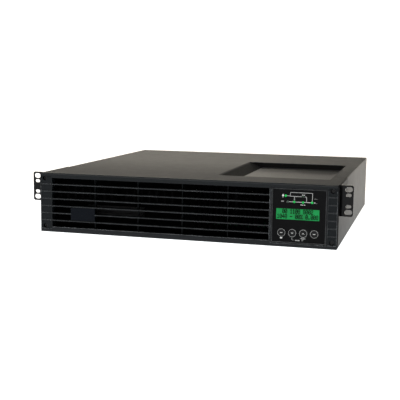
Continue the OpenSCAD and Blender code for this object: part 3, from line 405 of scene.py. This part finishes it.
M = {
    "case": moulded("case_paint", rgb(22, 21, 20), rgb(27, 26, 24), rough=(0.47, 0.53), grain=1500,
                    depth=0.00005, edge=0.0006, strength=0.25, blotch=3, edge_wear_and_highlight=rgb(30, 29, 28),
                    fade=0.14, patches=(SUNK_WALLS_PAINTED_SHADE, SUNK_FLOOR_PAINTED_LIGHT)),
    "panel": moulded("panel_paint", rgb(22, 22, 22), rgb(27, 27, 27), rough=(0.42, 0.55), grain=1500,
                     depth=0.00005, edge=0.0004),
    # Painted shade: the front panel, battery tray and its screws are near-black paint, darker than real
    # paint, for the shade behind the grille.
    "inner": moulded("black_paint_and_painted_shade", rgb(4, 4, 4), rgb(6, 6, 6), rough=(0.8, 0.9), grain=1500,
                     depth=0.00005, edge=0.0003, shine=0.02, edge_wear_and_highlight=rgb(6, 6, 6)),
    "ear": moulded("ear_paint", rgb(13, 13, 14), rgb(17, 17, 18), rough=(0.16, 0.22), grain=1300,
                   depth=0.00002, edge=0.0005, shine=0.1, strength=0.2, patches=(EAR_FLANGE,)),
    # The bezel's lighter edges are mostly a painted highlight on the slat and ridge fronts.
    "bezel": moulded("bezel_plastic", rgb(12, 15, 18), rgb(15, 18, 21), rough=(0.46, 0.56), grain=2200,
                     depth=0.00007, edge=0.0012, edge_wear_and_highlight=rgb(150, 154, 156), shine=0.2,
                     patches=(STRIP_FLOOR, TOP_BAND, *CALM_UPRIGHTS, SCREW_RECESS_PAINTED_SHADE, SLAT_TOPS_PAINTED_SHADE,
                              BEZEL_SIDES)),
    "badge": moulded("badge_enamel", rgb(3, 6, 12), rgb(5, 9, 16), rough=(0.2, 0.3), grain=900,
                     depth=0.00002, edge=0.0004, strength=0.12, shine=0.06),
    # The module's lighter edges are a painted highlight on its rim.
    "module": moulded("module_plastic", rgb(15, 16, 17), rgb(19, 20, 21), rough=(0.4, 0.5), grain=2400,
                      depth=0.00005, edge=0.0009, edge_wear_and_highlight=rgb(124, 127, 129), shine=0.25),
    "fascia": moulded("fascia_film", rgb(7, 7, 8), rgb(9, 9, 10), rough=(0.5, 0.62), grain=3200,
                      depth=0.00004, edge=0.0003, shine=0.06),
    "key": moulded("key_rubber", rgb(10, 10, 11), rgb(14, 14, 15), rough=(0.55, 0.7), grain=3000,
                   depth=0.00005, edge=0.0006, shine=0.2),
    "socket": moulded("socket_plastic", rgb(24, 24, 25), rgb(30, 30, 31), rough=(0.34, 0.46)),
    "grey": moulded("connector_plastic", rgb(96, 97, 99), rgb(110, 111, 112), rough=(0.4, 0.52)),
    "fan": moulded("fan_plastic", rgb(26, 26, 27), rgb(34, 34, 34), rough=(0.3, 0.44)),
    # Batteries: their own black plastic, darkened further as painted shade behind the grille.
    "cell": moulded("battery_plastic_and_painted_shade", rgb(9, 9, 10), rgb(13, 13, 14), rough=(0.6, 0.7), grain=900,
                    shine=0.1, edge_wear_and_highlight=rgb(18, 18, 19)),
    "white": moulded("slide_plastic", rgb(206, 205, 198), rgb(220, 219, 212), rough=(0.35, 0.5)),
    "sleeve": moulded("capacitor_sleeve", rgb(18, 24, 66), rgb(24, 32, 84), rough=(0.15, 0.28)),
    "dark_screw": brushed("black_screw", rgb(52, 53, 55), rgb(74, 75, 77), rough=(0.3, 0.45), metal=0.7),
    # Painted shade: the bezel's screws are darkened to match the shade in their counterbores.
    "screw_in_painted_shade": brushed("screw_in_painted_shade", rgb(14, 14, 15), rgb(24, 24, 25), rough=(0.35, 0.5), metal=0.4),
    "screw": brushed("zinc_screw", rgb(150, 150, 148), rgb(190, 190, 186), rough=(0.22, 0.36)),
    "wire": brushed("plated_wire", rgb(168, 168, 170), rgb(206, 206, 206), rough=(0.14, 0.25)),
    "alu": brushed("anodised_aluminium", rgb(26, 26, 27), rgb(36, 36, 38), rough=(0.4, 0.55)),
    "brass": brushed("standoff_brass", rgb(168, 138, 70), rgb(198, 168, 96), rough=(0.25, 0.4)),
    "zinc": spangled("zinc_coated_steel", rgb(136, 138, 139), rgb(172, 174, 175)),
    "copper": wound("coil_wire", rgb(120, 58, 26), rgb(176, 92, 44)),
    "board": etched_board("circuit_board"),
    "strap": woven("strap_webbing", rgb(9, 9, 10), rgb(17, 17, 18)),
    "lcd": glowing("lcd_backlight", rgb(20, 70, 36), rgb(19, 134, 68), 0.56),
    "lamp": glowing("lamp_lit", rgb(20, 90, 40), rgb(34, 180, 80), 0.42),
    "lamp_off": moulded("lamp_unlit", rgb(30, 48, 36), rgb(38, 58, 44), rough=(0.1, 0.2), grain=900,
                        depth=0.00002, edge=0.0003, strength=0.1),
    "ink": moulded("print_ink", rgb(150, 151, 150), rgb(172, 173, 171), rough=(0.5, 0.65), grain=3000,
                   depth=0.00002, edge=0.0001, strength=0.15),
    "ink_dim": moulded("print_ink_dim", rgb(112, 113, 112), rgb(128, 129, 127), rough=(0.5, 0.65),
                       grain=3000, depth=0.00002, edge=0.0001, strength=0.15),
    "ink_bright": moulded("print_ink_bright", rgb(206, 207, 205), rgb(226, 226, 224), rough=(0.5, 0.65),
                          grain=3000, depth=0.00002, edge=0.0001, strength=0.15),
    "dots": moulded("lcd_dots", rgb(2, 22, 11), rgb(3, 28, 14), rough=(0.3, 0.4), grain=2000,
                    depth=0.00001, edge=0.0001, strength=0.1, shine=0.1),
}

WEAR = {
    "case": ["chassis_base", "top_cover"],
    "panel": ["rear_panel", "port_panel", "power_panel", "slot_cover"],
    "inner": ["front_panel", "battery_tray", "tray_screws"],
    "ear": ["ear_left", "ear_right"],
    "dark_screw": ["ear_screws", "cover_screws"],
    "screw_in_painted_shade": ["bezel_screws"],
    "zinc": ["battery_bay"],
    "white": ["tray_runners", "breaker_button"],
    "module": ["display_well", "display_housing"],
    "board": ["main_board", "display_board"],
    "brass": ["board_standoffs"],
    "alu": ["heat_sinks"],
    "copper": ["inductors"],
    "sleeve": ["bulk_capacitors"],
    "grey": ["bay_connector", "tray_connector", "battery_socket"],
    "socket": ["outlet_1", "outlet_2", "outlet_3", "outlet_4", "power_inlet", "breaker"],
    "wire": ["serial_port", "usb_port", "fan_guard_1", "fan_guard_2", "button_switches"],
    "screw": ["slot_screws", "fan_screws"],
    "fan": ["fan_frame_1", "fan_frame_2", "fan_rotor_1", "fan_rotor_2"],
    "bezel": ["front_bezel"],
    "badge": ["badge_plate"],
    "fascia": ["display_fascia"],
    "lcd": ["lcd_panel"],
    "lamp": ["status_leds"],
    "lamp_off": ["idle_leds"],
    "key": ["button_on", "button_down", "button_up", "button_off"],
    "cell": ["battery_1", "battery_2", "battery_3", "battery_4"],
    "strap": ["tray_strap"],
}
for key, names in WEAR.items():
    for name in names:
        mesh = nodes[name].data
        mesh.materials.clear()
        mesh.materials.append(M[key])
bare = set(nodes) - {n for names in WEAR.values() for n in names}
if bare:
    raise RuntimeError(f"nodes without a material: {sorted(bare)}")


# ---------------------------------------------------------------- printed marks
def middle(node):
    """Middle of a node's box in millimetres, across and up."""
    low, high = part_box(node)
    return (low.x + high.x) / 2 / MM, (low.z + high.z) / 2 / MM


def front_of(node):
    """Depth of a node's foremost point in millimetres, behind the bezel's face."""
    return (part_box(node)[0].y - FRONT) / MM


MODULE_X, MODULE_Z = middle("display_housing")


class Print:
    """Thin raised marks on an upright face, in millimetres from the display module's middle."""

    def __init__(self, name, material, depth, body, thick=0.04):
        self.name, self.material, self.body = name, material, body
        self.y, self.thick = FRONT + depth * MM, thick * MM
        self.bm = bmesh.new()

    def shape(self, points):
        """One flat outline with its rim."""
        rows = [[self.bm.verts.new(((MODULE_X + x) * MM, y, (MODULE_Z + z) * MM)) for x, z in points]
                for y in (self.y - self.thick, self.y)]
        self.bm.faces.new(rows[0])
        for i, (a, b) in enumerate(zip(*rows)):
            j = (i + 1) % len(points)
            self.bm.faces.new((rows[0][j], a, b, rows[1][j]))

    def bar(self, x0, z0, x1, z1):
        self.shape([(x0, z0), (x1, z0), (x1, z1), (x0, z1)])

    def stroke(self, points, width):
        """A line of straight pieces, each run on by half its width."""
        for (ax, az), (bx, bz) in zip(points, points[1:]):
            length = math.hypot(bx - ax, bz - az)
            ux, uz = (bx - ax) / length * width / 2, (bz - az) / length * width / 2
            self.shape([(ax - ux + uz, az - uz - ux), (bx + ux + uz, bz + uz - ux),
                        (bx + ux - uz, bz + uz + ux), (ax - ux - uz, az - uz + ux)])

    def ring(self, x, z, outer, inner, sides=48):
        for i in range(sides):
            a, b = (math.tau * k / sides for k in (i, i + 1))
            self.shape([(x + r * math.cos(t), z + r * math.sin(t))
                        for r, t in ((inner, a), (outer, a), (outer, b), (inner, b))])

    def disc(self, x, z, rx, rz=None, sides=28):
        rz = rz or rx
        self.shape([(x + rx * math.cos(math.tau * i / sides), z + rz * math.sin(math.tau * i / sides))
                    for i in range(sides)])

    def done(self):
        bmesh.ops.recalc_face_normals(self.bm, faces=self.bm.faces)
        mesh = bpy.data.meshes.new(self.name)
        self.bm.to_mesh(mesh)
        self.bm.free()
        mesh.materials.append(M[self.material])
        obj = bpy.data.objects.new(self.name, mesh)
        bpy.context.collection.objects.link(obj)
        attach(obj, self.body)
        return obj


FACE = front_of("display_fascia")
KEYS = {f"key_{n}": middle(f"button_{n}")[0] - MODULE_X for n in ("on", "down", "up", "off")}
KEY_Z = middle("button_on")[1] - MODULE_Z
RING_OUTER, RING_WIDTH = 5.5, 0.38


def key_rings():
    """Thin printed rings round the buttons."""
    rings = Print("key_rings", "ink", FACE, "display_module")
    for x in KEYS.values():
        rings.ring(x, KEY_Z, RING_OUTER, RING_OUTER - RING_WIDTH)
    rings.done()


def key_marks():
    """A bar or an arrow on each button."""
    for body, x in KEYS.items():
        mark = Print(body + "_mark", "ink_bright", front_of(body.replace("key", "button")), body)
        if body in ("key_on", "key_off"):
            mark.stroke([(x - 1.3, KEY_Z), (x + 1.3, KEY_Z)], 0.7)
        else:
            rise = 1 if body == "key_up" else -1
            mark.stroke([(x - 1.2, KEY_Z - rise * 0.6), (x, KEY_Z + rise * 0.7),
                         (x + 1.2, KEY_Z - rise * 0.6)], 0.5)
        mark.done()


def flow_lines():
    """Lines between the lamps that show the way of the current, and two small arrow heads."""
    lines = Print("flow_lines", "ink", FACE, "display_module")
    top, high, low = 32.9, 27.6, 19.8
    down, across, out = -6.7, 10.1, 18.1
    thin, thick = 0.6, 0.8
    lines.stroke([(-16.9, 28.0), (-12.7, 28.0), (-12.3, top), (out + 0.1, top), (out - 0.1, 21.6)], thin)
    lines.stroke([(-12.7, high), (2.9, high - 0.2)], thin)
    lines.stroke([(7.9, high - 0.2), (across, high - 0.2), (across, low - 0.1)], thin)
    lines.stroke([(down, high - 0.2), (down, 22.0)], thin)
    for x0, x1 in ((-17.1, -8.8), (-4.7, 3.3), (7.5, 15.7)):
        lines.stroke([(x0, low), (x1, low)], thick)
    lines.shape([(down - 1.1, 23.8), (down + 1.1, 23.8), (down, 21.8)])
    lines.shape([(20.6, low - 0.9), (22.9, low), (20.6, low + 1.0)])
    lines.done()


def module_marks():
    """Plug and small bars beside the lamps, and a sign under the first button."""
    marks = Print("module_marks", "ink_bright", FACE, "display_module")
    plug_x, plug_z = -22.7, 28.2
    marks.disc(plug_x, plug_z, 1.25, 1.15)
    for pin in (-0.6, 0.6):
        marks.stroke([(plug_x + pin, plug_z + 1.0), (plug_x + pin, plug_z + 1.8)], 0.4)
    marks.stroke([(plug_x, plug_z - 1.0), (plug_x, plug_z - 2.6)], 0.45)
    for x0, z0, x1, z1 in ((3.9, 29.4, 5.0, 30.3), (5.7, 29.4, 7.5, 30.1), (1.9, 15.7, 3.7, 16.5),
                           (4.5, 15.6, 5.9, 16.3), (6.7, 15.7, 8.5, 16.4)):
        marks.bar(x0, z0, x1, z1)
    marks.disc(-24.0, -31.4, 1.75, 1.0)
    marks.done()


def faint_marks():
    """A battery on the left of the lamps and two waves on the right."""
    faint = Print("faint_marks", "ink_dim", FACE, "display_module")
    faint.bar(-25.1, 19.4, -21.7, 20.9)
    faint.bar(-21.7, 19.8, -21.1, 20.4)
    for z in (24.6, 18.6):
        faint.stroke([(20.9, z + 0.2), (22.2, z + 0.9), (23.2, z), (24.8, z + 0.3)], 0.45)
    faint.done()


def key_signs():
    """Thin signs under the two middle buttons."""
    signs = Print("key_signs", "ink", FACE, "display_module")
    signs.stroke([(-8.8, -30.4), (-8.8, -33.4), (-6.8, -34.0)], 0.5)
    signs.stroke([(6.3, -33.4), (4.7, -34.1)], 0.5)
    for x0, x1 in ((-4.3, -2.9), (-2.4, -1.1), (-0.6, 1.9)):
        signs.bar(x0, -34.7, x1, -33.3)
    signs.ring(6.5, -31.0, 1.9, 1.35, 28)
    signs.stroke([(3.2, -31.1), (9.9, -31.1)], 0.55)
    signs.done()


# Dot cells of the display: plain numbers only
DIGITS = {
    "0": "01110 10001 10011 10101 11001 10001 01110",
    "1": "00100 01100 00100 00100 00100 00100 01110",
    "2": "01110 10001 00001 00110 01000 10000 11111",
    "4": "00010 00110 01010 10010 11111 00010 00010",
    "8": "01110 10001 10001 01110 10001 10001 01110",
    "%": "11001 11010 00010 00100 01000 01011 10011",
    ".": "00000 00000 00000 00000 00000 01100 01100",
    "-": "00000 00000 00000 11111 00000 00000 00000",
}
LCD_TEXT = ("  00 1108 8002  ", "1048 - 00% 0.008")
LCD_RIM = 3.0           # the display reaches this far behind its frame
LCD_MARGIN = 1.2        # from the glass' edge to the dots
ROW_SHARE = 0.465       # of the glass' height for one row
DOTS_ACROSS, DOTS_UP = 5.6, 8.2     # dots in a cell, with the gap to the next one
DOT_SPREAD = 1.5        # the dots run together a little


def lcd_dots():
    """Two rows of dot cells on the display's glass; the display slides with its module."""
    low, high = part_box("lcd_panel")
    x0 = low.x / MM + LCD_RIM + LCD_MARGIN - MODULE_X
    width = (high.x - low.x) / MM - 2 * (LCD_RIM + LCD_MARGIN)
    top = high.z / MM - LCD_RIM - LCD_MARGIN * 0.7 - MODULE_Z
    cell = width / len(LCD_TEXT[0])
    row_pitch = ((high.z - low.z) / MM - 2 * LCD_RIM) * ROW_SHARE
    dot_w, dot_h = cell / DOTS_ACROSS, row_pitch / DOTS_UP
    dots = Print("lcd_dots", "dots", front_of("lcd_panel"), "display_module", 0.02)
    for row, text in enumerate(LCD_TEXT):
        for col, sign in enumerate(text):
            for j, bits in enumerate(DIGITS.get(sign, "").split()):
                for i, bit in enumerate(bits):
                    if bit == "1":
                        x = x0 + col * cell + i * dot_w
                        z = top - row * row_pitch - (j + 1) * dot_h
                        dots.bar(x, z, x + dot_w * DOT_SPREAD, z + dot_h * DOT_SPREAD)
    dots.done()


key_rings()
key_marks()
flow_lines()
module_marks()
faint_marks()
key_signs()
lcd_dots()

# ---------------------------------------------------------------- stage
FLOOR_FRONT, WALL_Y, BEND, WALL_TOP, HALF = -6.0, 7.0, 0.7, 1.1, 12.0
BEND_STEPS = 12


def studio_floor():
    """White paper on the floor that bends up into a low wall behind the unit."""
    profile = [(FLOOR_FRONT, 0.0), (WALL_Y - BEND, 0.0)]
    for i in range(1, BEND_STEPS + 1):
        a = math.pi / 2 * i / BEND_STEPS
        profile.append((WALL_Y - BEND + BEND * math.sin(a), BEND - BEND * math.cos(a)))
    profile.append((WALL_Y, WALL_TOP))
    mesh = bpy.data.meshes.new("studio_floor")
    sweep = bmesh.new()
    columns = [[sweep.verts.new((x, y, z)) for y, z in profile] for x in (-HALF, HALF)]
    for i in range(len(profile) - 1):
        sweep.faces.new((columns[0][i], columns[1][i], columns[1][i + 1], columns[0][i + 1]))
    sweep.to_mesh(mesh)
    sweep.free()
    for poly in mesh.polygons:
        poly.use_smooth = True
    mesh.materials.append(paper())
    floor = bpy.data.objects.new("studio_floor", mesh)
    bpy.context.collection.objects.link(floor)


def paper():
    """Glowing white paper, a little warmer towards the back."""
    s = Shader("studio_paper")
    grain = s.noise(3, 3)
    s.colour(s.mix((0.42, 0.42, 0.42), (0.46, 0.46, 0.46), s.span(grain, "Fac", 0, 1)))
    place = s.add("ShaderNodeSeparateXYZ")
    s.link(s.coord, "Object", place, "Vector")
    warm = s.mix((0.97, 0.99, 1.0), (1.0, 0.95, 0.87), s.span(place, "Y", 0.0, 1.0, -0.2, 0.6))
    warm = s.mix(warm, (2.1, 1.95, 1.66), s.span(place, "Y", 0.0, 1.0, 3.0, WALL_Y))
    s.tree.links.new(warm.outputs[2], s.bsdf.inputs["Emission Color"])
    s.set(Roughness=0.9, Specular_IOR_Level=0.0, Emission_Strength=1.15)
    return s.mat


def softbox(name, at, aim, size, power, tint=(1, 1, 1)):
    light = bpy.data.lights.new(name, "AREA")
    light.shape = "RECTANGLE"
    light.size, light.size_y = size
    light.energy = power
    light.color = tint
    obj = bpy.data.objects.new(name, light)
    obj.location = at
    obj.rotation_euler = (Vector(aim) - Vector(at)).to_track_quat("-Z", "Y").to_euler()
    bpy.context.collection.objects.link(obj)
    return obj


studio_floor()
softbox("top_light", (-0.3, -0.3, 2.8), (0, 0, 0), (2.4, 1.8), 8)
softbox("strip_light", (-0.5, -1.5, 2.3), (0, -0.2, 0.05), (3.0, 0.5), 62)
softbox("front_light", (-0.8, -3.4, 1.9), (0, -0.2, 0.05), (1.2, 1.0), 22)
softbox("back_light", (-1.9, 3.6, 1.7), (0, 0.1, 0.08), (2.8, 0.6), 16, (1.0, 0.93, 0.8))

world = bpy.data.worlds.new("studio_air")
bpy.context.scene.world = world
world.use_nodes = True
air = world.node_tree.nodes["Background"]
air.inputs["Color"].default_value = (0.95, 0.97, 1.0, 1)
air.inputs["Strength"].default_value = 0.06

# ---------------------------------------------------------------- camera
# Fitted to the corners of the unit in the photo; the place counts from the bezel's face
AZIMUTH, ELEVATION, ROLL = (math.radians(v) for v in (15.72, 8.09, 0.663))
CAMERA_X, CAMERA_Y, CAMERA_Z = 0.34603, -1.13355, 0.22735
PHOTO_WIDTH = 400       # pixels
LENS = 835.92           # in the photo's pixels
SENSOR = 36

back = Vector((math.sin(AZIMUTH) * math.cos(ELEVATION), -math.cos(AZIMUTH) * math.cos(ELEVATION),
               math.sin(ELEVATION)))
level = (-back).cross(Vector((0, 0, 1))).normalized()
plumb = level.cross(-back)
right = math.cos(ROLL) * level + math.sin(ROLL) * plumb
up = math.cos(ROLL) * plumb - math.sin(ROLL) * level
lens = bpy.data.cameras.new("camera")
lens.sensor_width = SENSOR
lens.lens = LENS / PHOTO_WIDTH * SENSOR
lens.clip_start = 0.01
lens.clip_end = 50
camera = bpy.data.objects.new("camera", lens)
bpy.context.collection.objects.link(camera)
turn = Matrix((right, up, back)).transposed().to_4x4()
camera.matrix_world = Matrix.Translation((CAMERA_X, CAMERA_Y + FRONT, CAMERA_Z)) @ turn
bpy.context.scene.camera = camera
bpy.context.scene.view_settings.view_transform = "Standard"
bpy.context.scene.view_settings.look = "None"
